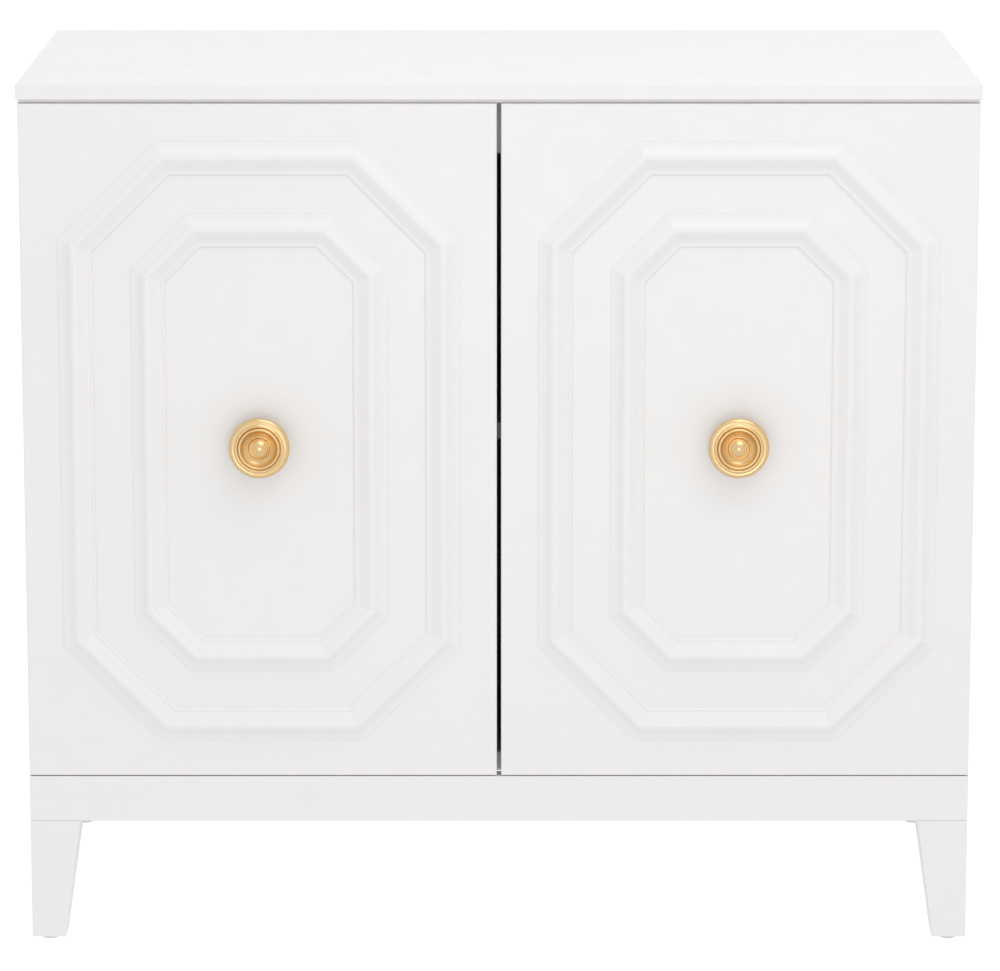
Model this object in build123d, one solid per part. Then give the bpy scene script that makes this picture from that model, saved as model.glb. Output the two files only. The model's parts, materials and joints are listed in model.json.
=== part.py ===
"""Two-door cabinet: thin top, octagonal door mouldings, round knobs, apron base with tapered legs.

Millimetres. +X is to the right seen from the front, the doors face -Y, and +Z is up.
The origin is on the floor, in the middle of the whole object's width and depth.
Sides are -1 for left and +1 for right; ends are -1 for front and +1 for rear.
"""
from build123d import *
import os

# ---- driving dimensions: whole object ----
TOP_WIDTH = 900.0
TOP_DEPTH = 450.0
TOP_THICK = 15.0
HEIGHT = 829.0
BODY_WIDTH = 897.0  # carcass, doors and base share it
TOP_FRONT_LIP = 1.0  # the slab stands this far in front of the door faces
KNOB_REACH = 30.0  # from a door's face to the front of its knob
BOARD = 18.0  # carcass board

# ---- base ----
GLIDE_HEIGHT = 5.0
LEG_TOP_HEIGHT = 120.0
LEG_TOP_SIZE = (48.0, 52.0)  # across X, along Y
LEG_FOOT_SIZE = (32.0, 33.0)
APRON_TOP = 164.0
APRON_THICK = 20.0
CORNER_BLOCK = 55.0
LEG_BOLT_INSET = 30.0  # from both outer faces of the base
LEG_BOLT_RADIUS = 4.0
BASE_SCREW_INSET = 62.0

# ---- doors ----
DOOR_THICK = 20.0
DOOR_BOTTOM = 164.8
DOOR_TOP = 810.5
DOOR_MIDDLE_GAP = 4.0
DOOR_BACK_GAP = 3.0  # between a door's back and the carcass
DOOR_EDGE_ROUND = 1.5
KNOB_RADIUS = 28.75
KNOB_SCREW_RADIUS = 2.0
KNOB_SCREW_GRIP = 12.0  # of its length in the knob

# ---- octagonal mouldings ----
OUTER_RING_MARGIN = 35.5  # from the door's edges to the ring's outer edge
RING_SPACING = 68.0  # from the outer ring's outer edge to the inner ring's
OUTER_RING_CUT = 92.0  # leg of the 45 degree corner cut
RING_WIDTH = 32.0
RING_HEIGHT = 6.4

# ---- inside ----
RAIL_HEIGHT = 50.0
PACKER_THICK = 3.0  # strips between the carcass and the slab, over the doors' top edges
PACKER_SETBACK = 4.0  # behind the door faces
PACKER_WIDTH = 45.0  # of the front and rear strips
BACK_PANEL_THICK = 5.0
SHELF_THICK = 16.0
SHELF_TOP = 500.0
SHELF_SIDE_GAP = 1.5
SHELF_FRONT_SETBACK = 20.0
SHELF_BACK_GAP = 4.0
PIN_RADIUS = 2.5
PIN_REACH = 10.0  # out of the side panel, under the shelf
PIN_DEPTH = 9.0
PIN_PITCH = 32.0
PIN_ROW_INSET = 37.0

# ---- fasteners of the carcass ----
CAM_RADIUS = 7.4
CAM_DEPTH = 12.5
CAM_INSET = 30.0  # from the end of the board to the cam's middle
CAM_FROM_EDGE = 70.0  # from the front and back of the carcass
CAM_BOLT_RADIUS = 3.0
CAM_BOLT_START = 4.0  # from the cam's middle
CAM_BOLT_LENGTH = 38.0
DOWEL_RADIUS = 4.0
DOWEL_LENGTH = 30.0
DOWEL_FROM_EDGE = 105.0
RAIL_DOWEL_SPREAD = 12.0
BACK_SCREW_RADIUS = 1.5
BACK_SCREW_LENGTH = 20.0
BACK_SCREW_HEIGHTS = (220.0, 355.0, 490.0, 625.0, 755.0)
BACK_SCREW_PLACES = (-280.0, 0.0, 280.0)  # along the top and bottom

# ---- concealed hinges ----
HINGE_END_DISTANCE = 97.0  # from a door's top or bottom edge
PIVOT_FROM_EDGE = 7.5  # from the door's outer edge
PIVOT_DEPTH = 9.0  # in front of the door's back face
PIVOT_RADIUS = 1.5
PIVOT_CLEARANCE = 0.05
EYE_RADIUS = 2.6
CUP_RADIUS = 17.5
CUP_CENTRE = 20.5  # from the door's outer edge
CUP_DEPTH = 13.5
CUP_WALL = 0.8
CUP_FLANGE = (11.0, 1.0, 52.0)  # across X, thickness, height
CUP_SCREW_SPREAD = 22.0
CUP_SCREW_OFFSET = 5.5  # from the cup's middle, away from the pivot
EAR_SPAN = (6.5, 9.0)  # from the middle of the hinge, up and down
ARM_HALF_HEIGHT = 4.0
ARM_THICK = 3.0
ARM_NECK_THICK = 2.4
ARM_WIDE_HALF_HEIGHT = 7.0
ARM_WIDE_SPAN = (10.0, 58.0)  # behind the carcass's front edges
ARM_SCREW_PLACES = (20.0, 48.0)
PLATE_THICK = 3.5
PLATE_SPAN = (12.0, 62.0)
PLATE_HALF_HEIGHT = 8.0
WING_HALF_WIDTH = 7.0
WING_HALF_HEIGHT = 23.0
PLATE_SCREW_SPREAD = 16.0
HARDWARE_SCREW_RADIUS = 1.75

# ---- magnetic catches ----
CATCH_X = 38.0  # from the middle of the cabinet
CATCH_SIZE = (40.0, 18.5, 14.0)
CATCH_SETBACK = 3.0  # body behind the doors' backs
MAGNET_LIP = 1.5  # the lips stand this far in front of the body
STRIKE_SIZE = (34.0, 1.1, 12.0)
BUMPER_RADIUS = 4.0
BUMPER_THICK = 2.6
BUMPER_X = 15.0

# ---- worked-out places ----
HALF_BODY = BODY_WIDTH / 2
FACE_Y = KNOB_REACH - (KNOB_REACH - TOP_FRONT_LIP + TOP_DEPTH) / 2  # front face of the doors
TOP_FRONT_Y = FACE_Y - TOP_FRONT_LIP
BACK_Y = TOP_FRONT_Y + TOP_DEPTH
DOOR_BACK_Y = FACE_Y + DOOR_THICK
CARCASS_FRONT_Y = DOOR_BACK_Y + DOOR_BACK_GAP
CARCASS_BACK_Y = BACK_Y - BACK_PANEL_THICK
TOP_UNDERSIDE = HEIGHT - TOP_THICK
CARCASS_TOP = TOP_UNDERSIDE - PACKER_THICK
BOTTOM_PANEL_TOP = APRON_TOP + BOARD
BOTTOM_MID_Z = APRON_TOP + BOARD / 2
INNER_HALF = HALF_BODY - BOARD
BOARD_MID_X = HALF_BODY - BOARD / 2  # middle of a side panel's thickness
DOOR_MID_Z = (DOOR_BOTTOM + DOOR_TOP) / 2
DOOR_HEIGHT = DOOR_TOP - DOOR_BOTTOM
DOOR_WIDTH = HALF_BODY - DOOR_MIDDLE_GAP / 2
DOOR_MID_X = HALF_BODY - DOOR_WIDTH / 2
PIVOT_X = HALF_BODY - PIVOT_FROM_EDGE
PIVOT_Y = DOOR_BACK_Y - PIVOT_DEPTH
HINGE_HEIGHTS = {
    "lower": DOOR_BOTTOM + HINGE_END_DISTANCE,
    "upper": DOOR_TOP - HINGE_END_DISTANCE,
}
SIDES = {"left": -1, "right": 1}
ENDS = {"front": -1, "rear": 1}
UP, DOWN = (0, 0, 1), (0, 0, -1)
BACKWARD, FORWARD = (0, 1, 0), (0, -1, 0)


def block(x_span, y_span, z_span):
    """A box between two values along each axis, given in either order."""
    spans = [sorted(span) for span in (x_span, y_span, z_span)]
    centre = [(low + high) / 2 for low, high in spans]
    return Pos(*centre) * Box(*[high - low for low, high in spans])


def rod(start, direction, length, radius):
    """A round bar from a start point along a direction."""
    bar = Cylinder(radius, length, align=(Align.CENTER, Align.CENTER, Align.MIN))
    return Plane(origin=start, z_dir=direction) * bar


def screw(head_point, direction, length, radius, head_radius, head_height):
    """A screw whose head stands on head_point and whose shank runs along direction."""
    outward = tuple(-d for d in direction)
    return rod(head_point, outward, head_height, head_radius) + rod(
        head_point, direction, length, radius
    )


def countersunk(head_point, direction, length, radius):
    """A countersunk screw whose head ends flush with head_point."""
    head_radius = 2 * radius
    head = Plane(origin=head_point, z_dir=direction) * Cone(
        head_radius, radius, radius, align=(Align.CENTER, Align.CENTER, Align.MIN)
    )
    return head + rod(head_point, direction, length, radius)


def cut(body, tools):
    """The body without the space that each tool fills."""
    for tool in tools:
        body = body - tool
    return body


def save(node, *solids):
    """One STEP file for one node, of one solid or of a group of separate solids."""
    shape = solids[0] if len(solids) == 1 else Compound(children=list(solids))
    export_step(shape, os.path.join("parts", node + ".step"))


# ---------------------------------------------------------------- base


def leg(side, end):
    """A leg with plumb outer faces and tapered inner faces, its outer edges softened."""
    def section(size, z):
        x_out, y_out = side * HALF_BODY, FACE_Y if end < 0 else BACK_Y
        centre = (x_out - side * size[0] / 2, y_out - end * size[1] / 2, z)
        return Pos(*centre) * Rectangle(*size)

    solid = loft([section(LEG_FOOT_SIZE, GLIDE_HEIGHT), section(LEG_TOP_SIZE, LEG_TOP_HEIGHT)])
    upright = [e for e in solid.edges() if abs((e @ 1 - e @ 0).Z) > 1]
    return fillet(upright, 1.2)


def foot_centre(side, end):
    """The middle of a leg's foot, in plan."""
    y_out = FACE_Y if end < 0 else BACK_Y
    return side * (HALF_BODY - LEG_FOOT_SIZE[0] / 2), y_out - end * LEG_FOOT_SIZE[1] / 2


def glide(side, end):
    """A nailed floor glide: a shallow dome with a flat underside and a short nail."""
    x, y = foot_centre(side, end)
    pad = Pos(x, y, 0) * Cone(7.0, 11.0, GLIDE_HEIGHT, align=(Align.CENTER, Align.CENTER, Align.MIN))
    pad = fillet(pad.edges().sort_by(Axis.Z)[0], 2.0)
    return pad + rod((x, y, GLIDE_HEIGHT), UP, 16, 1.2)


def base_parts():
    """The apron frame, its corner blocks, the legs and what fastens them."""
    corners = [(side, end) for side in SIDES.values() for end in ENDS.values()]
    z_span = (LEG_TOP_HEIGHT, APRON_TOP)
    inner_x = HALF_BODY - APRON_THICK
    inner_y = {-1: FACE_Y + APRON_THICK, 1: BACK_Y - APRON_THICK}

    glides = [glide(*corner) for corner in corners]
    bolts, base_screws, blocks = [], [], []
    for side, end in corners:
        y_out = FACE_Y if end < 0 else BACK_Y
        x_bolt, y_bolt = side * (HALF_BODY - LEG_BOLT_INSET), y_out - end * LEG_BOLT_INSET
        bolts.append(rod((x_bolt, y_bolt, LEG_TOP_HEIGHT - 32), UP, 64, LEG_BOLT_RADIUS))
        x_screw = side * (HALF_BODY - BASE_SCREW_INSET)
        y_screw = y_out - end * BASE_SCREW_INSET
        base_screws.append(screw((x_screw, y_screw, LEG_TOP_HEIGHT), UP, 54, 2.0, 4.0, 2.0))
        x_far = side * (inner_x - CORNER_BLOCK)
        y_far = inner_y[end] - end * CORNER_BLOCK
        blocks.append(block((side * inner_x, x_far), (inner_y[end], y_far), z_span))

    for (side, end), corner_bolt, corner_glide in zip(corners, bolts, glides):
        names = [name for name, sign in ENDS.items() if sign == end]
        names += [name for name, sign in SIDES.items() if sign == side]
        save("_".join(names) + "_leg", cut(leg(side, end), [corner_bolt, corner_glide]))
    for name, end in ENDS.items():
        y_out = FACE_Y if end < 0 else BACK_Y
        board = block((-HALF_BODY, HALF_BODY), (y_out, inner_y[end]), z_span)
        outer = [e for e in board.edges() if abs((e @ 0.5).Y - y_out) < 0.01]
        save(name + "_apron", fillet(outer, 0.8))
    for name, side in SIDES.items():
        board = block((side * HALF_BODY, side * inner_x), (inner_y[-1], inner_y[1]), z_span)
        save(name + "_apron", board)
    fasteners = bolts + base_screws
    save("corner_blocks", *[cut(wood, fasteners) for wood in blocks])
    save("leg_bolts", *bolts)
    save("base_screws", *base_screws)
    save("foot_glides", *glides)
    return base_screws


# ---------------------------------------------------------------- fasteners of the carcass


def cam_sets():
    """Cam locks and their bolts: two at each end of each side panel."""
    cams, bolts = [], []
    for side in SIDES.values():
        for y in (CARCASS_FRONT_Y + CAM_FROM_EDGE, CARCASS_BACK_Y - CAM_FROM_EDGE):
            # top joint: cam in the side panel's inner face, bolt down from the slab
            z_cam = TOP_UNDERSIDE - CAM_INSET
            cams.append(rod((side * INNER_HALF, y, z_cam), (side, 0, 0), CAM_DEPTH, CAM_RADIUS))
            foot = (side * BOARD_MID_X, y, z_cam + CAM_BOLT_START)
            bolts.append(rod(foot, UP, CAM_BOLT_LENGTH, CAM_BOLT_RADIUS))
            # bottom joint: cam in the bottom panel's underside, bolt in from the side panel
            x_cam = side * (INNER_HALF - CAM_INSET)
            cams.append(rod((x_cam, y, APRON_TOP), UP, CAM_DEPTH, CAM_RADIUS))
            foot = (x_cam + side * CAM_BOLT_START, y, BOTTOM_MID_Z)
            bolts.append(rod(foot, (side, 0, 0), CAM_BOLT_LENGTH, CAM_BOLT_RADIUS))
    return cams, bolts


def dowel_set():
    """Wooden dowels: beside the cams, and in both ends of the two top rails."""
    dowels = []
    z_rail = CARCASS_TOP - RAIL_HEIGHT / 2
    rails_y = (CARCASS_FRONT_Y + BOARD / 2, CARCASS_BACK_Y - BOARD / 2)
    for side in SIDES.values():
        x_start = side * (INNER_HALF - 20)
        starts = [
            (x_start, y, z_rail + dz)
            for y in rails_y
            for dz in (-RAIL_DOWEL_SPREAD, RAIL_DOWEL_SPREAD)
        ]
        for y in (CARCASS_FRONT_Y + DOWEL_FROM_EDGE, CARCASS_BACK_Y - DOWEL_FROM_EDGE):
            foot = (side * BOARD_MID_X, y, TOP_UNDERSIDE - 20)
            dowels.append(rod(foot, UP, DOWEL_LENGTH, DOWEL_RADIUS))
            starts.append((x_start, y, BOTTOM_MID_Z))
        dowels += [rod(start, (side, 0, 0), DOWEL_LENGTH, DOWEL_RADIUS) for start in starts]
    return dowels


def back_screw_set():
    """Countersunk screws round the edge of the back panel."""
    places = [(side * BOARD_MID_X, z) for z in BACK_SCREW_HEIGHTS for side in SIDES.values()]
    ends = (BOTTOM_MID_Z, CARCASS_TOP - BOARD / 2)
    places += [(x, z) for x in BACK_SCREW_PLACES for z in ends]
    return [
        countersunk((x, BACK_Y, z), FORWARD, BACK_SCREW_LENGTH, BACK_SCREW_RADIUS)
        for x, z in places
    ]


# ---------------------------------------------------------------- carcass


def shelf_pin_rows():
    """The inset of both rows of pin holes, as Y values."""
    return CARCASS_FRONT_Y + PIN_ROW_INSET, CARCASS_BACK_Y - PIN_ROW_INSET - 10


def shelf_pin(side, y):
    """A pin with a round collar, under the shelf's edge."""
    z = SHELF_TOP - SHELF_THICK - PIN_RADIUS
    start = (side * (INNER_HALF - PIN_REACH), y, z)
    return rod(start, (side, 0, 0), PIN_REACH + PIN_DEPTH, PIN_RADIUS)


def pin_holes(side):
    """Rows of blind holes in the side panel, seven high at the shelf's pitch."""
    z_pin = SHELF_TOP - SHELF_THICK - PIN_RADIUS
    holes = []
    for y in shelf_pin_rows():
        for step in range(-3, 4):
            start = (side * INNER_HALF, y, z_pin + step * PIN_PITCH)
            holes.append(rod(start, (side, 0, 0), PIN_DEPTH, PIN_RADIUS))
    return holes


def packer_set():
    """Strips that lift the slab clear of the doors: two sides, and a front and rear between."""
    z_span = (CARCASS_TOP, TOP_UNDERSIDE)
    y_front = FACE_Y + PACKER_SETBACK
    strips = [
        block((side * HALF_BODY, side * INNER_HALF), (y_front, CARCASS_BACK_Y), z_span)
        for side in SIDES.values()
    ]
    for y_span in (y_front, y_front + PACKER_WIDTH), (CARCASS_BACK_Y - PACKER_WIDTH, CARCASS_BACK_Y):
        strips.append(block((-INNER_HALF, INNER_HALF), y_span, z_span))
    return strips


def carcass_parts(base_screws, plate_screws, catch_screws):
    """The box that the doors close, with its shelf and fasteners."""
    cams, cam_bolts = cam_sets()
    dowels = dowel_set()
    back_screws = back_screw_set()
    joints = cams + cam_bolts + dowels

    slab = block(
        (-TOP_WIDTH / 2, TOP_WIDTH / 2), (TOP_FRONT_Y, BACK_Y), (TOP_UNDERSIDE, HEIGHT)
    )
    slab = fillet(slab.edges(), 1.2)
    save("top_panel", cut(slab, cam_bolts + dowels))

    for name, side in SIDES.items():
        panel = block(
            (side * HALF_BODY, side * INNER_HALF),
            (CARCASS_FRONT_Y, CARCASS_BACK_Y),
            (APRON_TOP, CARCASS_TOP),
        )
        own = [tool for tool in joints + back_screws + plate_screws if tool.center().X * side > 0]
        save(name + "_side_panel", cut(panel, own + pin_holes(side)))

    across = (-INNER_HALF, INNER_HALF)
    bottom = block(across, (CARCASS_FRONT_Y, CARCASS_BACK_Y), (APRON_TOP, BOTTOM_PANEL_TOP))
    save("bottom_panel", cut(bottom, joints + base_screws + back_screws))

    rail_z = (CARCASS_TOP - RAIL_HEIGHT, CARCASS_TOP)
    front_rail = block(across, (CARCASS_FRONT_Y, CARCASS_FRONT_Y + BOARD), rail_z)
    save("front_top_rail", cut(front_rail, dowels + catch_screws))
    rear_rail = block(across, (CARCASS_BACK_Y - BOARD, CARCASS_BACK_Y), rail_z)
    save("rear_top_rail", cut(rear_rail, dowels + back_screws))

    save("top_packers", *[cut(strip, cam_bolts + dowels) for strip in packer_set()])

    back = block((-HALF_BODY, HALF_BODY), (CARCASS_BACK_Y, BACK_Y), (APRON_TOP, TOP_UNDERSIDE))
    save("back_panel", cut(back, back_screws))

    shelf_half = INNER_HALF - SHELF_SIDE_GAP
    shelf_y = (CARCASS_FRONT_Y + SHELF_FRONT_SETBACK, CARCASS_BACK_Y - SHELF_BACK_GAP)
    shelf = block((-shelf_half, shelf_half), shelf_y, (SHELF_TOP - SHELF_THICK, SHELF_TOP))
    save("shelf", fillet(shelf.edges().filter_by(Axis.X), 0.8))
    pins = [shelf_pin(side, y) for side in SIDES.values() for y in shelf_pin_rows()]
    save("shelf_pins", *pins)

    save("cam_locks", *[cut(cam, cam_bolts) for cam in cams])
    save("cam_bolts", *cam_bolts)
    save("wood_dowels", *dowels)
    save("back_panel_screws", *back_screws)


# ---------------------------------------------------------------- hinges and catches


def hinge_arm(side, z, screws):
    """A goose-neck arm: eye on the pivot, neck in the cup, then a flat leg on the plate."""
    x_eye = side * PIVOT_X
    x_leg = side * (INNER_HALF - PLATE_THICK)
    x_leg_in = x_leg - side * ARM_THICK
    z_span = (z - ARM_HALF_HEIGHT, z + ARM_HALF_HEIGHT)
    wide_start, wide_end = [CARCASS_FRONT_Y + dy for dy in ARM_WIDE_SPAN]
    wide_z = (z - ARM_WIDE_HALF_HEIGHT, z + ARM_WIDE_HALF_HEIGHT)
    neck_front = PIVOT_Y - EYE_RADIUS
    eye = rod((x_eye, PIVOT_Y, z - ARM_HALF_HEIGHT), UP, 2 * ARM_HALF_HEIGHT, EYE_RADIUS)
    neck = block((x_eye, x_leg_in), (neck_front, neck_front + ARM_NECK_THICK), z_span)
    flat_leg = block((x_leg, x_leg_in), (neck_front, wide_end), z_span)
    wide = block((x_leg, x_leg_in), (wide_start, wide_end), wide_z)
    hole = rod((x_eye, PIVOT_Y, z - 20), UP, 40, PIVOT_RADIUS + PIVOT_CLEARANCE)
    return cut(eye + neck + flat_leg + wide, [hole] + screws)


def hinge_plate(side, z, screws):
    """A cross-shaped mounting plate on the side panel's inner face."""
    x_span = (side * INNER_HALF, side * (INNER_HALF - PLATE_THICK))
    spine_y = [CARCASS_FRONT_Y + dy for dy in PLATE_SPAN]
    spine = block(x_span, spine_y, (z - PLATE_HALF_HEIGHT, z + PLATE_HALF_HEIGHT))
    y_mid = CARCASS_FRONT_Y + PIN_ROW_INSET
    wings_y = (y_mid - WING_HALF_WIDTH, y_mid + WING_HALF_WIDTH)
    wings = block(x_span, wings_y, (z - WING_HALF_HEIGHT, z + WING_HALF_HEIGHT))
    return cut(spine + wings, screws)


def arm_screw_set(side, z):
    """Two screws that clamp the arm to its plate."""
    x_head = side * (INNER_HALF - PLATE_THICK - ARM_THICK)
    return [
        screw((x_head, CARCASS_FRONT_Y + dy, z), (side, 0, 0), 6.0, 2.0, 3.6, 1.6)
        for dy in ARM_SCREW_PLACES
    ]


def plate_screw_set(side, z):
    """Two wood screws through the wings of the plate."""
    x_head = side * (INNER_HALF - PLATE_THICK)
    y = CARCASS_FRONT_Y + PIN_ROW_INSET
    return [
        screw((x_head, y, z + dz), (side, 0, 0), 14.0, HARDWARE_SCREW_RADIUS, 3.6, 1.6)
        for dz in (-PLATE_SCREW_SPREAD, PLATE_SCREW_SPREAD)
    ]


def hinge_cup(side, z):
    """A drawn cup with a flange, and two ears that hold the pivot pin."""
    x_cup = side * (HALF_BODY - CUP_CENTRE)
    x_pin = side * PIVOT_X
    deep = (x_cup, DOOR_BACK_Y - CUP_DEPTH, z)
    shell = rod(deep, BACKWARD, CUP_DEPTH, CUP_RADIUS)
    floor_y = deep[1] + CUP_WALL
    inside = rod((x_cup, floor_y, z), BACKWARD, CUP_DEPTH + 5, CUP_RADIUS - CUP_WALL)
    ears_x, ears_y = (x_pin - 3, x_pin + 3), (deep[1], PIVOT_Y + 3)
    ears = [
        block(ears_x, ears_y, [z + sign * distance for distance in EAR_SPAN]) & shell
        for sign in (-1, 1)
    ]
    flange_x = (x_cup, x_cup - side * CUP_FLANGE[0])
    flange_z = (z - CUP_FLANGE[2] / 2, z + CUP_FLANGE[2] / 2)
    flange = block(flange_x, (DOOR_BACK_Y, DOOR_BACK_Y + CUP_FLANGE[1]), flange_z)
    flange = fillet(flange.edges().filter_by(Axis.Y), 3.0)
    body = shell + flange - inside + ears[0] + ears[1]
    return cut(body, [hinge_pin(side, z)] + cup_screw_set(side, z))


def hinge_pin(side, z):
    """The pivot pin, held by the two ears of the cup."""
    start = (side * PIVOT_X, PIVOT_Y, z - EAR_SPAN[1])
    return rod(start, UP, 2 * EAR_SPAN[1], PIVOT_RADIUS)


def cup_screw_set(side, z):
    """Two wood screws through the flange into the door."""
    x = side * (HALF_BODY - CUP_CENTRE - CUP_SCREW_OFFSET)
    y = DOOR_BACK_Y + CUP_FLANGE[1]
    return [
        screw((x, y, z + dz), FORWARD, 12.0, HARDWARE_SCREW_RADIUS, 3.2, 1.2)
        for dz in (-CUP_SCREW_SPREAD, CUP_SCREW_SPREAD)
    ]


def catch_screw(side):
    """The screw that holds a catch up against the front rail."""
    y = CARCASS_FRONT_Y + BOARD / 2
    z = CARCASS_TOP - RAIL_HEIGHT - CATCH_SIZE[2]
    return screw((side * CATCH_X, y, z), UP, 26, HARDWARE_SCREW_RADIUS, 3.4, 1.6)


def magnetic_catch(side):
    """A plastic catch body with two magnet lips at its front, under the front rail."""
    x = side * CATCH_X
    width, depth, height = CATCH_SIZE
    z_top = CARCASS_TOP - RAIL_HEIGHT
    y_front = DOOR_BACK_Y + CATCH_SETBACK
    body = block((x - width / 2, x + width / 2), (y_front, y_front + depth), (z_top - height, z_top))
    body = fillet(body.edges().filter_by(Axis.Y), 1.5)
    for z in (z_top - 11.5, z_top - 4.5):
        body = body + block((x - 16, x + 16), (y_front - MAGNET_LIP, y_front + 1), (z, z + 2))
    return body - catch_screw(side)


# ---------------------------------------------------------------- doors


def offset_cut(corner_cut, distance):
    """The corner cut of an octagon offset inwards, whose 45 degree sides stay at 45 degrees."""
    return corner_cut - (2 - 2**0.5) * distance


def octagon(half_width, half_height, corner_cut):
    """Corner points (x, z) of a rectangle with 45 degree cuts at its corners."""
    inner_x, inner_z = half_width - corner_cut, half_height - corner_cut
    quarter = [(inner_x, -half_height), (half_width, -inner_z)]
    right = quarter + [(x, -z) for x, z in reversed(quarter)]
    return right + [(-x, z) for x, z in reversed(right)]


def ring_section():
    """The moulding's section: cove up to an arris, low crest, straight fall, small bead inside."""
    crest_start, crest_end = (11.5, 5.8), (15.0, RING_HEIGHT)
    fall_start, fall_end = (18.0, 5.7), (25.0, 2.24)
    bead_start, bead_end = (28.0, 1.54), (31.7, 0.5)
    outline = [
        Line((0, 0), (0, 0.7)),
        ThreePointArc((0, 0.7), (6.4, 2.3), crest_start),
        ThreePointArc(crest_start, (13.2, 6.25), crest_end),
        TangentArc(crest_end, fall_start, tangent=(1, 0)),
        Line(fall_start, fall_end),
        TangentArc(bead_start, fall_end, tangent=(-1, 0)),
        ThreePointArc(bead_start, (30.0, 1.8), bead_end),
        Polyline(bead_end, (RING_WIDTH, 0), (0, 0)),
    ]
    return make_face(Wire([edge for piece in outline for edge in piece.edges()]))


def ring(margin, corner_cut):
    """An octagonal moulding of eight mitred lengths, its outer edge at a margin from the
    door's edges. It lies on the plane y = 0, with its middle at the origin."""
    half_width = DOOR_WIDTH / 2 - margin
    half_height = DOOR_HEIGHT / 2 - margin
    outer = octagon(half_width, half_height, corner_cut)
    inner = octagon(
        half_width - RING_WIDTH, half_height - RING_WIDTH, offset_cut(corner_cut, RING_WIDTH)
    )
    lengths = []
    for i, j in zip(range(8), [1, 2, 3, 4, 5, 6, 7, 0]):
        start, end = Vector(outer[i][0], 0, outer[i][1]), Vector(outer[j][0], 0, outer[j][1])
        along = (end - start).normalized()
        inward = Vector(*FORWARD).cross(along)
        plane = Plane(origin=start, x_dir=inward, z_dir=along)
        bar = extrude(plane * ring_section(), (end - start).length)
        corners = [outer[i], outer[j], inner[j], inner[i]]
        mitre = make_face(Polyline([(x, 0, z) for x, z in corners], close=True))
        lengths.append(bar & extrude(mitre, 2 * RING_HEIGHT, dir=FORWARD))
    return lengths[0] + lengths[1:]


def knob():
    """A turned knob: neck, round-edged disc, groove, ring, deep dish and domed centre,
    bored from the back for its screw."""
    r, bore, bore_end = KNOB_RADIUS, KNOB_SCREW_RADIUS, KNOB_SCREW_GRIP
    outline = [
        Polyline((0, bore_end), (bore, bore_end), (bore, 0), (11.0, 0), (11.0, 2.0)),
        ThreePointArc((11.0, 2.0), (8.2, 6.5), (9.0, 11.5)),
        ThreePointArc((9.0, 11.5), (15.5, 15.2), (24.5, 16.6)),
        ThreePointArc((24.5, 16.6), (r, 20.6), (24.9, 24.9)),
        ThreePointArc((24.9, 24.9), (23.8, 24.8), (22.7, 25.3)),
        ThreePointArc((22.7, 25.3), (21.5, 25.9), (20.4, 25.2)),
        Polyline((20.4, 25.2), (20.0, 24.8), (19.7, 25.8)),
        ThreePointArc((19.7, 25.8), (18.5, 27.0), (17.3, 26.4)),
        ThreePointArc((17.3, 26.4), (14.7, 23.6), (11.8, 22.0)),
        ThreePointArc((11.8, 22.0), (10.9, 22.8), (10.1, 22.1)),
        Polyline((10.1, 22.1), (9.8, 22.0), (9.7, 23.8)),
        TangentArc((0, KNOB_REACH), (9.7, 23.8), tangent=(1, 0)),
        Line((0, KNOB_REACH), (0, bore_end)),
    ]
    edges = [edge for piece in outline for edge in piece.edges()]
    plane = Plane(origin=(0, 0, 0), x_dir=(1, 0, 0), z_dir=DOWN)
    return revolve(plane * make_face(Wire(edges)), axis=Axis((0, 0, 0), FORWARD))


def knob_screw(x):
    """The machine screw that holds a knob, its head on the door's back."""
    length = DOOR_THICK + KNOB_SCREW_GRIP
    return screw((x, DOOR_BACK_Y, DOOR_MID_Z), FORWARD, length, KNOB_SCREW_RADIUS, 4.4, 2.4)


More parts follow.
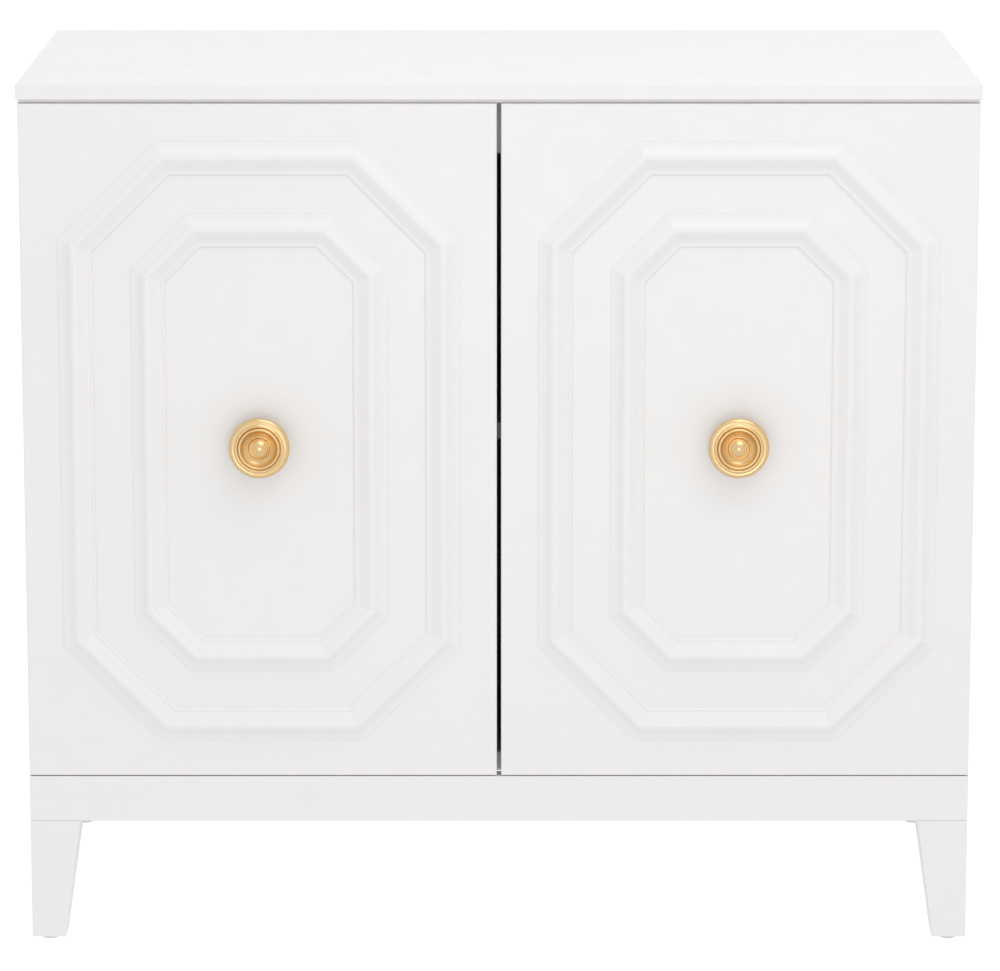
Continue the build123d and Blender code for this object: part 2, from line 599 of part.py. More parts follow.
def door_parts(name, side):
    """One door with all that is fixed to it."""
    x_mid = side * DOOR_MID_X
    on_face = Pos(x_mid, FACE_Y, DOOR_MID_Z)
    heights = HINGE_HEIGHTS.values()
    pull_screw = knob_screw(x_mid)
    cup_screws = [one for z in heights for one in cup_screw_set(side, z)]
    strike_x, strike_z = side * CATCH_X, CARCASS_TOP - RAIL_HEIGHT - CATCH_SIZE[2] / 2
    strike_back = DOOR_BACK_Y + STRIKE_SIZE[1]
    strike = block(
        (strike_x - STRIKE_SIZE[0] / 2, strike_x + STRIKE_SIZE[0] / 2),
        (DOOR_BACK_Y, strike_back),
        (strike_z - STRIKE_SIZE[2] / 2, strike_z + STRIKE_SIZE[2] / 2),
    )
    strike_screw = rod((strike_x, strike_back, strike_z), FORWARD, 13, 1.5)
    bumpers = [
        rod((side * BUMPER_X, DOOR_BACK_Y, z), BACKWARD, BUMPER_THICK, BUMPER_RADIUS)
        for z in (DOOR_BOTTOM + 7.5, DOOR_TOP - 20.0)
    ]

    outer_x = side * HALF_BODY
    inner_x = side * DOOR_MIDDLE_GAP / 2
    panel = block((outer_x, inner_x), (FACE_Y, DOOR_BACK_Y), (DOOR_BOTTOM, DOOR_TOP))
    front_edges = [e for e in panel.edges() if abs((e @ 0.5).Y - FACE_Y) < 0.01]
    panel = fillet(front_edges, DOOR_EDGE_ROUND)
    x_cup = side * (HALF_BODY - CUP_CENTRE)
    recesses = [
        rod((x_cup, DOOR_BACK_Y - CUP_DEPTH, z), BACKWARD, DOOR_THICK, CUP_RADIUS) for z in heights
    ]
    panel = cut(panel, recesses + cup_screws + [pull_screw, strike_screw])
    save(name + "_door_panel", panel)
    save(name + "_outer_moulding", on_face * ring(OUTER_RING_MARGIN, OUTER_RING_CUT))
    inner_cut = offset_cut(OUTER_RING_CUT, RING_SPACING)
    inner_ring = ring(OUTER_RING_MARGIN + RING_SPACING, inner_cut)
    save(name + "_inner_moulding", on_face * inner_ring)
    save(name + "_knob", on_face * knob())
    save(name + "_knob_screw", pull_screw)
    save(name + "_hinge_cups", *[hinge_cup(side, z) for z in heights])
    save(name + "_hinge_pins", *[hinge_pin(side, z) for z in heights])
    save(name + "_cup_screws", *cup_screws)
    save(name + "_strike_plate", strike - strike_screw)
    save(name + "_strike_screw", strike_screw)
    save(name + "_door_bumpers", *bumpers)


def hinge_and_catch_parts():
    """Everything of the hinges and catches that stays with the carcass."""
    plate_screws, arm_screws, catch_screws = [], [], []
    for name, side in SIDES.items():
        plates = []
        for level, z in HINGE_HEIGHTS.items():
            arm_pair, plate_pair = arm_screw_set(side, z), plate_screw_set(side, z)
            save(level + "_" + name + "_hinge_arm", hinge_arm(side, z, arm_pair))
            plates.append(hinge_plate(side, z, arm_pair + plate_pair))
            arm_screws += arm_pair
            plate_screws += plate_pair
        save(name + "_hinge_plates", *plates)
        save(name + "_magnetic_catch", magnetic_catch(side))
        catch_screws.append(catch_screw(side))
    save("hinge_plate_screws", *plate_screws)
    save("hinge_arm_screws", *arm_screws)
    save("catch_screws", *catch_screws)
    return plate_screws, catch_screws


os.makedirs("parts", exist_ok=True)
screws_up = base_parts()
hinge_screws, rail_screws = hinge_and_catch_parts()
carcass_parts(screws_up, hinge_screws, rail_screws)
for door_name, door_side in SIDES.items():
    door_parts(door_name, door_side)
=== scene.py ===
"""Looks of the white two-door cabinet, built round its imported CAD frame.

Metres, in the frame's own axes: +X right, the doors face -Y, +Z up, the floor at z = 0.
"""

import json
import math

import bmesh
import bpy
from mathutils import Matrix, Vector


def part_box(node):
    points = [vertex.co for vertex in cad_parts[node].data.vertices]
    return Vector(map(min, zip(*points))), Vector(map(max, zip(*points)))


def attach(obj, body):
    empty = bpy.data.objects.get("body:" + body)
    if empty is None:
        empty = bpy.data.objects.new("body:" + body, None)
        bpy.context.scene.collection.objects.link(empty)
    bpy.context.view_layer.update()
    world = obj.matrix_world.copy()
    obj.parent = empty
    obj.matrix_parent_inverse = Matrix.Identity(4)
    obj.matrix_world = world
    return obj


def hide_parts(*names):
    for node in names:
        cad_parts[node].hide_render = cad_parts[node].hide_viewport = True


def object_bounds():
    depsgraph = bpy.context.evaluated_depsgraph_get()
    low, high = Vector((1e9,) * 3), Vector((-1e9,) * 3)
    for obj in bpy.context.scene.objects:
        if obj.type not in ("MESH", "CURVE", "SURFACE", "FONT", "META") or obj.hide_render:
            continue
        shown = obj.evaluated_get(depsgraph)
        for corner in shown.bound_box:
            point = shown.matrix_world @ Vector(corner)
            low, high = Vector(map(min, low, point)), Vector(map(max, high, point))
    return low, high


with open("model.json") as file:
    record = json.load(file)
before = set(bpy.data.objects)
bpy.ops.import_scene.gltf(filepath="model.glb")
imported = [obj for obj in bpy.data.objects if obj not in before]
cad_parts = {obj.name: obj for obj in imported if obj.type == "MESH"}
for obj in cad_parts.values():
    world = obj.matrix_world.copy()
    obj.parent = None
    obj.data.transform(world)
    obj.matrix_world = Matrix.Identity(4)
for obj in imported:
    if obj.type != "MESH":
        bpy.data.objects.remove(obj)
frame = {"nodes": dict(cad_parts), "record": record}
cad_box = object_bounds()

MM = 0.001
SIDES = ("left", "right")

# ---- the range in which nearly all of a noise's values lie ----
NOISE_LOW = 0.3
NOISE_HIGH = 0.7

# ---- mesh work ----
WELD = 1e-6  # metres between points that are one
ON_AXIS = 1e-9  # millimetres
SMOOTH_BELOW = math.radians(35)  # between neighbouring faces that shade as one
EASED_ABOVE = math.radians(50)  # between the faces at an edge that is eased
FLAT_BELOW = math.radians(1)
SCREW_SEGMENTS = 40  # round a screw or a bumper
CAM_SEGMENTS = 56
PIN_SEGMENTS = 32
KNOB_SEGMENTS = 128
TURN_BETWEEN = 2.4  # radians from one screw's cross to the next
CAMS_PARTED_AT = 0.5  # metres up: side panel cams above, bottom panel cams below

# ---- camera, seen from the slab's front edge ----
CAMERA_DISTANCE = 4.6
CAMERA_ABOVE_TOP = 0.565
CAMERA_PITCH = 11.161  # degrees below the horizon
CAMERA_X = 0.001
LENS = 179.0
SENSOR = 36.0
LENS_SHIFT = -0.04

# ---- light: azimuth to the right of the front, elevation, distance, size, irradiance ----
WORLD_STRENGTH = 0.945
LIGHTS = {
    "overhead": (28.0, 60.0, 2.6, 1.8, 0.185),
    "front": (3.0, 0.0, 3.0, 0.8, 0.067),
    "behind": (180.0, 12.0, 4.4, 2.0, 0.013),
}
FLOOR_SEEN = 1.12  # brightness of the floor to the eye
FLOOR_LIGHT = 0.96  # and as a source of light
FLOOR_RADIUS = 60.0
FLOOR_PAINT = 0.15  # share of the floor's look that is plain paint, the rest glows
FLOOR_COLOURS = ((0.90, 0.90, 0.90), (0.87, 0.87, 0.87))

# ---------------------------------------------------------------- materials


class Surface:
    """A material and short calls for the nodes that build it."""

    def __init__(self, name):
        self.material = bpy.data.materials.new(name)
        self.material.use_nodes = True
        self.tree = self.material.node_tree
        self.shader = self.tree.nodes["Principled BSDF"]
        self.place = self.tree.nodes.new("ShaderNodeTexCoord").outputs["Object"]

    def set(self, **values):
        """Plain numbers on the shader's own sockets, named with _ for a space."""
        for name, value in values.items():
            self.shader.inputs[name.replace("_", " ")].default_value = value

    def link(self, output, socket):
        """Joins an output to a socket, or sets the socket when a plain value is given."""
        if isinstance(output, bpy.types.NodeSocket):
            self.tree.links.new(output, socket)
        else:
            socket.default_value = output

    def noise(self, scale, detail=3.0, stretch=(1, 1, 1), place=None):
        """Noise with a number of waves per metre along each axis."""
        mapping = self.tree.nodes.new("ShaderNodeMapping")
        mapping.inputs["Scale"].default_value = [scale * s for s in stretch]
        self.link(place or self.place, mapping.inputs["Vector"])
        node = self.tree.nodes.new("ShaderNodeTexNoise")
        node.inputs["Scale"].default_value = 1.0
        node.inputs["Detail"].default_value = detail
        self.link(mapping.outputs["Vector"], node.inputs["Vector"])
        return node.outputs["Fac"]

    def span(self, value, out_low=0.0, out_high=1.0, low=NOISE_LOW, high=NOISE_HIGH):
        """Value stretched from low..high to out_low..out_high, and held there."""
        node = self.tree.nodes.new("ShaderNodeMapRange")
        node.clamp = True
        for name, number in zip(("From Min", "From Max", "To Min", "To Max"),
                                (low, high, out_low, out_high)):
            node.inputs[name].default_value = number
        self.link(value, node.inputs["Value"])
        return node.outputs["Result"]

    def maths(self, operation, a, b=0.0):
        node = self.tree.nodes.new("ShaderNodeMath")
        node.operation = operation
        self.link(a, node.inputs[0])
        self.link(b, node.inputs[1])
        return node.outputs[0]

    def blend(self, factor, a, b):
        """A colour between a and b."""
        node = self.tree.nodes.new("ShaderNodeMix")
        node.data_type = "RGBA"
        self.link(factor, node.inputs[0])
        for value, socket in ((a, node.inputs[6]), (b, node.inputs[7])):
            self.link((*value, 1.0) if isinstance(value, tuple) else value, socket)
        return node.outputs[2]

    def colour(self, output):
        self.link(output, self.shader.inputs["Base Color"])

    def rough(self, output):
        self.link(output, self.shader.inputs["Roughness"])

    def bump(self, *layers):
        """Bumps laid over each other, each a height output and its full depth."""
        normal = None
        for height, depth in layers:
            node = self.tree.nodes.new("ShaderNodeBump")
            node.inputs["Distance"].default_value = depth
            node.inputs["Strength"].default_value = 1.0
            self.link(height, node.inputs["Height"])
            if normal is not None:
                self.link(normal, node.inputs["Normal"])
            normal = node.outputs["Normal"]
        self.link(normal, self.shader.inputs["Normal"])

    def from_axis(self):
        """Distance from the object's own Y axis, turns about it, and place along it."""
        parts = self.tree.nodes.new("ShaderNodeSeparateXYZ")
        self.link(self.place, parts.inputs[0])
        x, z = parts.outputs["X"], parts.outputs["Z"]
        squares = self.maths("ADD", self.maths("MULTIPLY", x, x), self.maths("MULTIPLY", z, z))
        turn = self.maths("ARCTAN2", x, z)
        turns = self.maths("DIVIDE", turn, 2 * math.pi)
        return self.maths("SQRT", squares), turns, parts.outputs["Y"]

    def combine(self, x, y, z):
        node = self.tree.nodes.new("ShaderNodeCombineXYZ")
        for value, socket in zip((x, y, z), node.inputs):
            self.link(value, socket)
        return node.outputs[0]


def lacquer(name, colour, shade, roughness):
    """Sprayed satin paint: faint drift in tone, fine orange peel and a slow waviness."""
    s = Surface(name)
    drift = s.noise(4.0, detail=4)
    mottle = s.noise(60.0, detail=3)
    tone = s.maths("ADD", s.span(drift, 0, 0.6), s.span(mottle, 0, 0.4))
    s.colour(s.blend(tone, colour, shade))
    s.rough(s.span(s.noise(35.0, detail=5), roughness - 0.04, roughness + 0.05))
    s.bump((s.noise(14.0, detail=2), 0.12 * MM), (s.noise(900.0, detail=2), 0.01 * MM))
    s.set(IOR=1.5)
    return s.material


def hardboard(name):
    """Thin white-faced board: fine mottled fibres under a dull film."""
    s = Surface(name)
    fibres = s.noise(420.0, detail=5, stretch=(1, 1, 0.35))
    cloud = s.noise(9.0, detail=4)
    fibre_tone = s.span(fibres, 0, 0.5, low=0.35, high=0.65)
    tone = s.maths("ADD", fibre_tone, s.span(cloud, 0, 0.5))
    s.colour(s.blend(tone, (0.80, 0.79, 0.77), (0.72, 0.71, 0.69)))
    s.rough(s.span(fibres, 0.55, 0.72))
    s.bump((fibres, 0.03 * MM))
    return s.material


def bare_wood(name):
    """Planed pale hardwood with long grain, pores and slow rings."""
    s = Surface(name)
    warp = s.noise(6.0, detail=3, stretch=(0.4, 1, 1))
    rings = s.noise(90.0, detail=2, stretch=(0.06, 1, 1))
    grain = s.noise(700.0, detail=4, stretch=(0.04, 1, 1))
    tone = s.maths("ADD", s.span(rings, 0, 0.6), s.span(warp, 0, 0.4))
    wood = s.blend(tone, (0.66, 0.49, 0.31), (0.50, 0.33, 0.18))
    s.colour(s.blend(s.span(grain, low=0.55, high=0.75), wood, (0.36, 0.22, 0.11)))
    s.rough(s.span(grain, 0.5, 0.68))
    s.bump((grain, 0.06 * MM))
    return s.material


def brass(name):
    """Lathe-turned satin brass: fine rings round the axis under a thin clear lacquer."""
    s = Surface(name)
    radius, turn, depth = s.from_axis()
    along = s.maths("ADD", radius, s.maths("MULTIPLY", depth, 0.7))
    round_axis = s.combine(s.maths("MULTIPLY", along, 5200.0), s.maths("MULTIPLY", turn, 3.0), 0.0)
    rings = s.noise(1.0, detail=3, place=round_axis)
    patina = s.noise(160.0, detail=4)
    tone = s.maths("ADD", s.span(patina, 0, 0.6), s.span(rings, 0, 0.4))
    s.colour(s.blend(tone, (0.775, 0.56, 0.295), (0.70, 0.48, 0.23)))
    s.rough(s.span(rings, 0.20, 0.34))
    s.bump((rings, 0.004 * MM), (patina, 0.01 * MM))
    s.set(Metallic=1.0, Coat_Weight=0.25, Coat_Roughness=0.12)
    return s.material


def steel(name, colour, shade, roughness):
    """Plated steel with faint drawing lines and a slightly cloudy plating."""
    s = Surface(name)
    lines = s.noise(1500.0, detail=3, stretch=(1, 0.05, 1))
    cloud = s.noise(120.0, detail=4)
    s.colour(s.blend(s.span(cloud), colour, shade))
    s.rough(s.span(lines, roughness - 0.05, roughness + 0.08))
    s.bump((lines, 0.0012 * MM), (cloud, 0.002 * MM))
    s.set(Metallic=1.0)
    return s.material


def cast_zinc(name):
    """Dull die-cast zinc with a grainy skin."""
    s = Surface(name)
    skin = s.noise(1400.0, detail=4)
    s.colour(s.blend(s.span(skin), (0.55, 0.55, 0.56), (0.42, 0.42, 0.44)))
    s.rough(s.span(skin, 0.38, 0.55))
    s.bump((skin, 0.02 * MM))
    s.set(Metallic=1.0)
    return s.material


def moulded_plastic(name, colour, shade, roughness):
    """Moulded plastic with a fine spark-eroded texture."""
    s = Surface(name)
    grain = s.noise(1800.0, detail=2)
    cloud = s.noise(70.0, detail=3)
    s.colour(s.blend(s.span(cloud), colour, shade))
    s.rough(s.span(grain, roughness - 0.05, roughness + 0.08))
    s.bump((grain, 0.015 * MM))
    return s.material


def clear_rubber(name):
    """Soft translucent bumper rubber, faintly cloudy."""
    s = Surface(name)
    cloud = s.noise(500.0, detail=3)
    s.colour(s.blend(s.span(cloud), (0.80, 0.80, 0.78), (0.68, 0.68, 0.66)))
    s.rough(s.span(cloud, 0.22, 0.36))
    s.bump((cloud, 0.01 * MM))
    s.set(Transmission_Weight=0.45, IOR=1.42)
    return s.material


MATERIALS = {
    "white_lacquer": lacquer("white_lacquer", (0.795, 0.782, 0.774), (0.775, 0.762, 0.752), 0.36),
    "inner_white": lacquer("inner_white", (0.78, 0.775, 0.765), (0.755, 0.75, 0.74), 0.42),
    "back_board": hardboard("back_board"),
    "bare_wood": bare_wood("bare_wood"),
    "satin_brass": brass("satin_brass"),
    "nickelled_steel": steel("nickelled_steel", (0.66, 0.64, 0.61), (0.56, 0.545, 0.52), 0.27),
    "cast_zinc": cast_zinc("cast_zinc"),
    "glide_plastic": moulded_plastic("glide_plastic", (0.70, 0.69, 0.67), (0.62, 0.61, 0.59), 0.45),
    "catch_plastic": moulded_plastic("catch_plastic", (0.80, 0.79, 0.77), (0.74, 0.73, 0.71), 0.42),
    "clear_rubber": clear_rubber("clear_rubber"),
}
SLOT_OF = {p["node"]: p["material_slot"] for p in frame["record"]["subparts"]}
BODY_OF = {
    node: body for body, nodes in frame["record"]["behaviour"]["bodies"].items() for node in nodes
}

for node_name, node in frame["nodes"].items():
    node.data.materials.clear()
    node.data.materials.append(MATERIALS[SLOT_OF[node_name]])


# ---------------------------------------------------------------- pieces


def arc(start, middle, end, steps=8):
    """Points of a circle's arc from start through middle to end, leaving start out."""
    (ax, ay), (bx, by), (cx, cy) = start, middle, end
    twice = 2 * (ax * (by - cy) + bx * (cy - ay) + cx * (ay - by))
    squares = [x * x + y * y for x, y in (start, middle, end)]
    ux = (squares[0] * (by - cy) + squares[1] * (cy - ay) + squares[2] * (ay - by)) / twice
    uy = (squares[0] * (cx - bx) + squares[1] * (ax - cx) + squares[2] * (bx - ax)) / twice
    radius = math.hypot(ax - ux, ay - uy)
    first, through, last = (math.atan2(y - uy, x - ux) for x, y in (start, middle, end))
    sweep = (last - first) % (2 * math.pi)
    if (through - first) % (2 * math.pi) > sweep:
        sweep -= 2 * math.pi
    turns = [first + sweep * step / steps for step in range(1, steps + 1)]
    return [(ux + radius * math.cos(t), uy + radius * math.sin(t)) for t in turns]


def lathe(outline, segments):
    """A closed turned form about +Z, from (radius, height) points in millimetres.
    The outline starts and ends on the axis."""
    form = bmesh.new()
    rows = []
    for radius, height in outline:
        count = segments if radius > ON_AXIS else 1
        turns = [2 * math.pi * i / segments for i in range(count)]
        rows.append([
            form.verts.new((radius * MM * math.cos(t), radius * MM * math.sin(t), height * MM))
            for t in turns
        ])
    for upper, lower in zip(rows, rows[1:]):
        for i in range(segments):
            j = (i + 1) % segments
            corners = [upper[i % len(upper)], lower[i % len(lower)]]
            corners += [lower[j % len(lower)], upper[j % len(upper)]]
            form.faces.new(list(dict.fromkeys(corners)))
    bmesh.ops.recalc_face_normals(form, faces=form.faces)
    mesh = bpy.data.meshes.new("turned")
    form.to_mesh(mesh)
    form.free()
    return mesh


def cross_cutter(arm, half_width, depth):
    """A tapered cross, to sink a driver's recess below z = 0, in millimetres."""
    form = bmesh.new()
    rows = []
    for height, reach, half in ((1.0, arm, half_width), (-depth, 0.5 * arm, 0.8 * half_width)):
        quarter = ((reach, -half), (reach, half), (half, half))
        points = []
        for _ in range(4):
            points += quarter
            quarter = [(-y, x) for x, y in quarter]
        rows.append([form.verts.new((x * MM, y * MM, height * MM)) for x, y in points])
    for i in range(12):
        j = (i + 1) % 12
        form.faces.new((rows[0][i], rows[1][i], rows[1][j], rows[0][j]))
    form.faces.new(rows[0])
    form.faces.new(rows[1][::-1])
    bmesh.ops.recalc_face_normals(form, faces=form.faces)
    mesh = bpy.data.meshes.new("cross")
    form.to_mesh(mesh)
    form.free()
    return mesh


def carve(mesh, cutter):
    """The mesh without the space that the cutter fills."""
    objects = [bpy.data.objects.new("carving", data) for data in (mesh, cutter)]
    for one in objects:
        bpy.context.scene.collection.objects.link(one)
    step = objects[0].modifiers.new("recess", "BOOLEAN")
    step.operation = "DIFFERENCE"
    step.solver = "EXACT"
    step.object = objects[1]
    carved = objects[0].evaluated_get(bpy.context.evaluated_depsgraph_get())
    result = bpy.data.meshes.new_from_object(carved)
    for one in objects:
        bpy.data.objects.remove(one)
    return result


def solids(node):
    """Centre and size of each separate solid of a CAD node, in a steady order."""
    form = bmesh.new()
    form.from_mesh(frame["nodes"][node].data)
    bmesh.ops.remove_doubles(form, verts=form.verts, dist=WELD)
    seen, found = set(), []
    for first in form.verts:
        if first in seen:
            continue
        seen.add(first)
        group, waiting = [], [first]
        while waiting:
            vertex = waiting.pop()
            group.append(vertex.co.copy())
            for edge in vertex.link_edges:
                other = edge.other_vert(vertex)
                if other not in seen:
                    seen.add(other)
                    waiting.append(other)
        low = Vector([min(point[axis] for point in group) for axis in range(3)])
        high = Vector([max(point[axis] for point in group) for axis in range(3)])
        found.append(((low + high) / 2, high - low))
    form.free()
    return sorted(found, key=lambda solid: tuple(round(value, 4) for value in solid[0]))


def place_piece(name, mesh, node, origin=(0, 0, 0), slot=None):
    """Adds a piece that rides as a CAD node does. It stands for the node and has its finish,
    unless it has a slot of its own, and then the node still shows."""
    mesh.shade_smooth()
    mesh.set_sharp_from_angle(angle=SMOOTH_BELOW)
    mesh.materials.clear()
    mesh.materials.append(MATERIALS[slot or SLOT_OF[node]])
    piece = bpy.data.objects.new(name, mesh)
    piece.location = origin
    bpy.context.scene.collection.objects.link(piece)
    if slot is None:
        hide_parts(node)
    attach(piece, BODY_OF[node])


def inwards(centre):
    """From a side of the cabinet towards its middle."""
    return Vector((-math.copysign(1.0, centre.x), 0, 0))


def out_of_board(centre):
    """The cams' faces: those in the side panels look inwards, those in the bottom panel down."""
    return inwards(centre) if centre.z > CAMS_PARTED_AT else downwards(centre)


def backwards(centre):
    return Vector((0, 1, 0))


def downwards(centre):
    return Vector((0, 0, -1))


def repeat(node, facing, build):
    """Puts one turned form at every solid of a node, its outer end facing the way given.
    build takes a solid's length and width in millimetres and returns a mesh that ends at z = 0."""
    form = bmesh.new()
    template = None
    for number, (centre, size) in enumerate(solids(node)):
        outward = facing(centre)
        length = abs(size.dot(outward))
        width = (size - Vector([abs(v) for v in outward]) * length).length / math.sqrt(2)
        if template is None:
            template = build(length / MM, width / MM)
        turn = outward.to_track_quat("Z", "Y").to_matrix().to_4x4()
        spin = Matrix.Rotation(TURN_BETWEEN * number, 4, "Z")
        copy = template.copy()
        copy.transform(Matrix.Translation(centre + outward * length / 2) @ turn @ spin)
        form.from_mesh(copy)
        bpy.data.meshes.remove(copy)
    mesh = bpy.data.meshes.new(node)
    form.to_mesh(mesh)
    form.free()
    place_piece(node + "_formed", mesh, node)


def pan_screw(shank, head_height):
    """Builds a screw with a low domed head, a driver's cross and a pointed end."""
    def build(length, width):
        head = width / 2
        outline = [(0, 0)] + arc((0, 0), (0.55 * head, -0.12 * head_height),
                                 (head, -0.62 * head_height))
        outline += [(head, -head_height), (shank, -head_height)]
        outline += [(shank, -length + 2 * shank), (0, -length)]
        cross = cross_cutter(0.62 * head, 0.13 * head, 0.62 * head_height)
        return carve(lathe(outline, SCREW_SEGMENTS), cross)
    return build


def flat_screw(shank, head):
    """Builds a countersunk screw with a driver's cross and a pointed end."""
    def build(length, width):
        outline = [(0, 0), (head - 0.15, 0), (head, -0.15), (shank, shank - head)]
        outline += [(shank, -length + 2 * shank), (0, -length)]
        cross = cross_cutter(0.62 * head, 0.13 * head, 0.5 * head)
        return carve(lathe(outline, SCREW_SEGMENTS), cross)
    return build


def cam(length, width):
    """A cam lock's outer end: a thin rim, a sunk face and a driver's cross."""
    rim = width / 2
    outline = [(0, -0.5), (rim - 1.2, -0.5), (rim - 0.9, 0), (rim - 0.2, 0), (rim, -0.2)]
    outline += [(rim, -length), (0, -length)]
    return carve(lathe(outline, CAM_SEGMENTS), cross_cutter(0.66 * rim, 0.95, 3.2))


def shelf_pin(length, width):
    """A plated pin with a rounded end and a thin collar against the side panel."""
    pin, reach, collar = width / 2, 10.0, 4.0
    outline = [(0, 0), (pin - 0.6, 0)] + arc((pin - 0.6, 0), (pin - 0.18, -0.18), (pin, -0.6))
    outline += [(pin, 1.0 - reach), (collar - 0.2, 1.0 - reach), (collar, 0.8 - reach)]
    outline += [(collar, -reach), (pin, -reach), (pin, -length), (0, -length)]
    return lathe(outline, PIN_SEGMENTS)


def bumper(length, width):
    """A soft domed button."""
    rim = width / 2
    outline = [(0, 0)] + arc((0, 0), (0.6 * rim, -0.14 * length), (rim, -0.72 * length), 10)
    outline += [(rim, -length), (0, -length)]
    return lathe(outline, SCREW_SEGMENTS)


def make_knob(side):
    """A turned knob, about its own middle so that its turning marks run round it. The outline
    goes from the dome over the lip, dish and rim to the foot, in millimetres off the door."""
    node = side + "_knob"
    low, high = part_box(node)
    rim = (high.x - low.x) / 2 / MM
    outline = [(0, 30.0)] + arc((0, 30.0), (5.67, 28.35), (9.7, 23.8), 20)
    outline += [(9.8, 22.0), (10.1, 22.1)] + arc((10.1, 22.1), (10.9, 22.8), (11.8, 22.0), 10)
    outline += arc((11.8, 22.0), (14.7, 23.6), (17.3, 26.4), 18)
    outline += arc((17.3, 26.4), (18.5, 27.0), (19.7, 25.8), 8) + [(20.0, 24.8), (20.4, 25.2)]
    outline += arc((20.4, 25.2), (21.5, 25.9), (22.7, 25.3), 8)
    outline += arc((22.7, 25.3), (23.8, 24.8), (24.9, 24.9), 6)
    outline += arc((24.9, 24.9), (rim, 20.6), (24.5, 16.6), 20)
    outline += arc((24.5, 16.6), (15.5, 15.2), (9.0, 11.5), 10)
    outline += arc((9.0, 11.5), (8.2, 6.5), (11.0, 2.0), 10) + [(11.0, 0), (0, 0)]
    mesh = lathe(outline, KNOB_SEGMENTS)
    mesh.transform(Matrix.Rotation(math.radians(90), 4, "X"))
    middle = (low + high) / 2
    place_piece(side + "_turned_knob", mesh, node, (middle.x, high.y, middle.z))


def make_catch_lips(side):
    """The two steel pole plates that show at the front of a magnetic catch."""
    node = side + "_magnetic_catch"
    low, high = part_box(node)
    form = bmesh.new()
    for below in (3.5, 10.5):
        middle = ((low.x + high.x) / 2, low.y + 0.7 * MM, high.z - below * MM)
        place = Matrix.Translation(middle)
        size = Matrix.Diagonal((32.2 * MM, 1.6 * MM, 2.1 * MM, 1.0))
        bmesh.ops.create_cube(form, size=1.0, matrix=place @ size)
    bmesh.ops.bevel(form, geom=form.edges[:], offset=0.3 * MM, segments=2, affect="EDGES")
    mesh = bpy.data.meshes.new("lips")
    form.to_mesh(mesh)
    form.free()
    place_piece(side + "_catch_lips", mesh, node, slot="nickelled_steel")


def soften(node, width, shortest):
    """Stands for a CAD node with the same shape, its sharp edges longer than shortest eased."""
    form = bmesh.new()
    form.from_mesh(frame["nodes"][node].data)
    bmesh.ops.remove_doubles(form, verts=form.verts, dist=WELD)
    bmesh.ops.dissolve_limit(form, angle_limit=FLAT_BELOW, verts=form.verts, edges=form.edges)
    sharp = [
        edge for edge in form.edges
        if edge.is_manifold and edge.calc_length() > shortest * MM
        and edge.calc_face_angle() > EASED_ABOVE
    ]
    bmesh.ops.bevel(form, geom=sharp, offset=width * MM, segments=2, affect="EDGES")
    bmesh.ops.triangulate(form, faces=form.faces)
    mesh = bpy.data.meshes.new(node)
    form.to_mesh(mesh)
    form.free()
    if "custom_normal" in mesh.attributes:
        mesh.attributes.remove(mesh.attributes["custom_normal"])
    place_piece(node + "_eased", mesh, node)


for node_name in ("left_side_panel", "right_side_panel", "bottom_panel", "front_top_rail"):
    soften(node_name, 0.4, 12.0)
for level in ("upper", "lower"):
    for side_name in SIDES:
        soften(level + "_" + side_name + "_hinge_arm", 0.3, 2.0)
for side_name in SIDES:
    soften(side_name + "_hinge_plates", 0.35, 3.0)
    make_knob(side_name)
    make_catch_lips(side_name)
    repeat(side_name + "_knob_screw", backwards, pan_screw(2.0, 2.4))
    repeat(side_name + "_cup_screws", backwards, pan_screw(1.75, 1.2))
    repeat(side_name + "_strike_screw", backwards, flat_screw(1.5, 2.8))
    repeat(side_name + "_door_bumpers", backwards, bumper)
repeat("hinge_plate_screws", inwards, pan_screw(1.75, 1.6))
repeat("hinge_arm_screws", inwards, pan_screw(2.0, 1.6))
repeat("catch_screws", downwards, pan_screw(1.75, 1.6))
repeat("base_screws", downwards, pan_screw(2.0, 2.0))
repeat("back_panel_screws", backwards, flat_screw(1.5, 3.0))
repeat("shelf_pins", inwards, shelf_pin)
repeat("cam_locks", out_of_board, cam)


# ---------------------------------------------------------------- stage


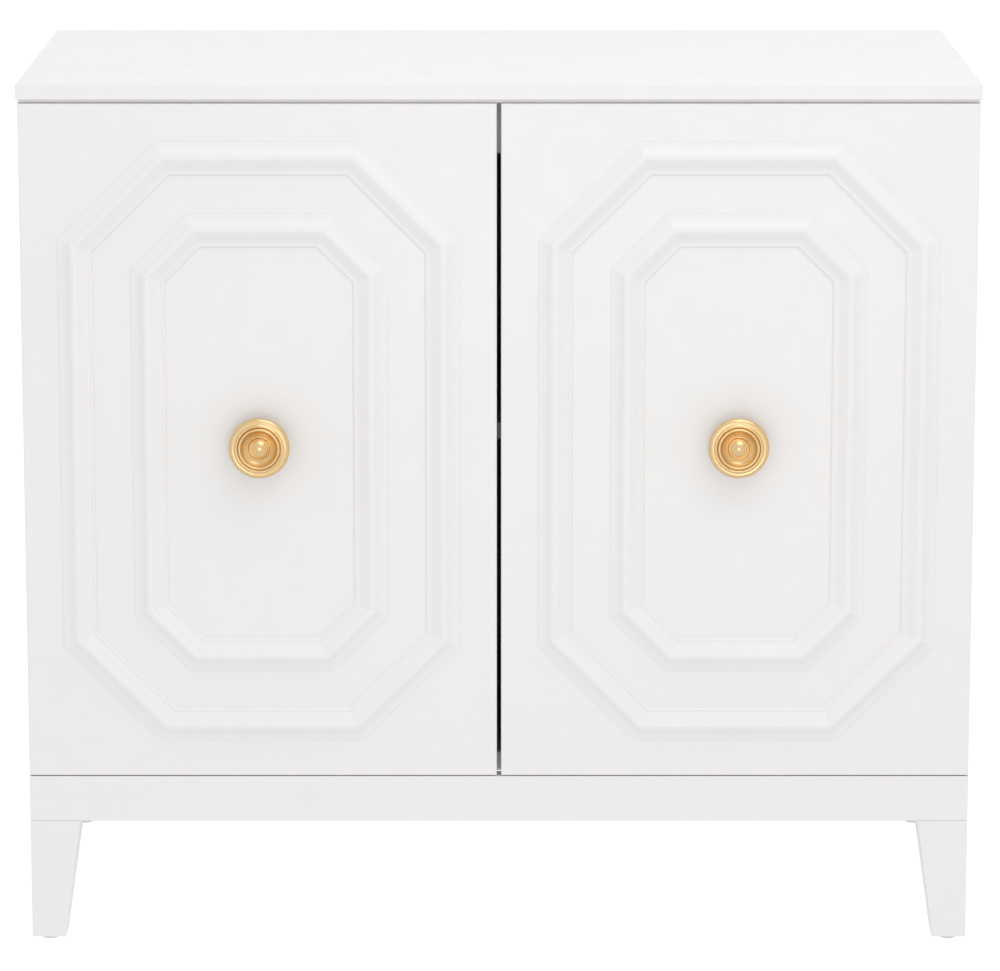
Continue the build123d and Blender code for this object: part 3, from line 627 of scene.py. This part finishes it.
def make_floor():
    """A wide pale floor that stays near white, with only a breath of shadow."""
    s = Surface("studio_floor")
    dust = s.noise(3.0, detail=3)
    s.colour(s.blend(s.span(dust), *FLOOR_COLOURS))
    s.rough(0.9)
    s.set(Specular_IOR_Level=0.0)
    seen = s.tree.nodes.new("ShaderNodeLightPath").outputs["Is Camera Ray"]
    glow = s.tree.nodes.new("ShaderNodeEmission")
    s.link(s.span(seen, FLOOR_LIGHT, FLOOR_SEEN, low=0.0, high=1.0), glow.inputs["Strength"])
    mix = s.tree.nodes.new("ShaderNodeMixShader")
    mix.inputs[0].default_value = FLOOR_PAINT
    s.link(glow.outputs[0], mix.inputs[1])
    s.link(s.shader.outputs[0], mix.inputs[2])
    s.link(mix.outputs[0], s.tree.nodes["Material Output"].inputs["Surface"])

    disc = bmesh.new()
    bmesh.ops.create_circle(disc, cap_ends=True, segments=96, radius=FLOOR_RADIUS)
    mesh = bpy.data.meshes.new("floor")
    disc.to_mesh(mesh)
    disc.free()
    mesh.materials.append(s.material)
    floor = bpy.data.objects.new("floor", mesh)
    bpy.context.scene.collection.objects.link(floor)


def make_light():
    """Even white surroundings and three soft lights: overhead, in front level with the doors,
    and a faint one behind for the sheen on the top."""
    world = bpy.data.worlds.new("studio")
    world.use_nodes = True
    background = world.node_tree.nodes["Background"]
    background.inputs["Color"].default_value = (1.0, 1.0, 1.0, 1.0)
    background.inputs["Strength"].default_value = WORLD_STRENGTH
    bpy.context.scene.world = world

    low, high = cad_box
    target = (low + high) / 2
    for name, (azimuth, elevation, distance, size, irradiance) in LIGHTS.items():
        turn, rise = math.radians(azimuth), math.radians(elevation)
        toward = Vector((
            math.sin(turn) * math.cos(rise), -math.cos(turn) * math.cos(rise), math.sin(rise)
        ))
        data = bpy.data.lights.new(name, "AREA")
        data.size = size
        data.energy = irradiance * (math.pi * distance) ** 2  # irradiance in units of pi
        light = bpy.data.objects.new(name, data)
        light.visible_camera = False
        light.location = target + toward * distance
        light.rotation_mode = "QUATERNION"
        light.rotation_quaternion = toward.to_track_quat("Z", "Y")
        bpy.context.scene.collection.objects.link(light)


def make_camera():
    """The photograph's viewpoint: nearly square on, a little above the top."""
    slab_low, slab_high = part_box("top_panel")
    data = bpy.data.cameras.new("camera")
    data.lens = LENS
    data.sensor_width = SENSOR
    data.shift_y = LENS_SHIFT
    data.clip_end = 200.0
    camera = bpy.data.objects.new("camera", data)
    place = Vector((CAMERA_X, slab_low.y - CAMERA_DISTANCE, slab_high.z + CAMERA_ABOVE_TOP))
    tilt = Matrix.Rotation(math.radians(90 - CAMERA_PITCH), 4, "X")
    camera.matrix_world = Matrix.Translation(place) @ tilt
    bpy.context.scene.collection.objects.link(camera)
    bpy.context.scene.camera = camera
    bpy.context.scene.view_settings.view_transform = "Standard"
    bpy.context.scene.view_settings.look = "None"


make_floor()
make_light()
make_camera()
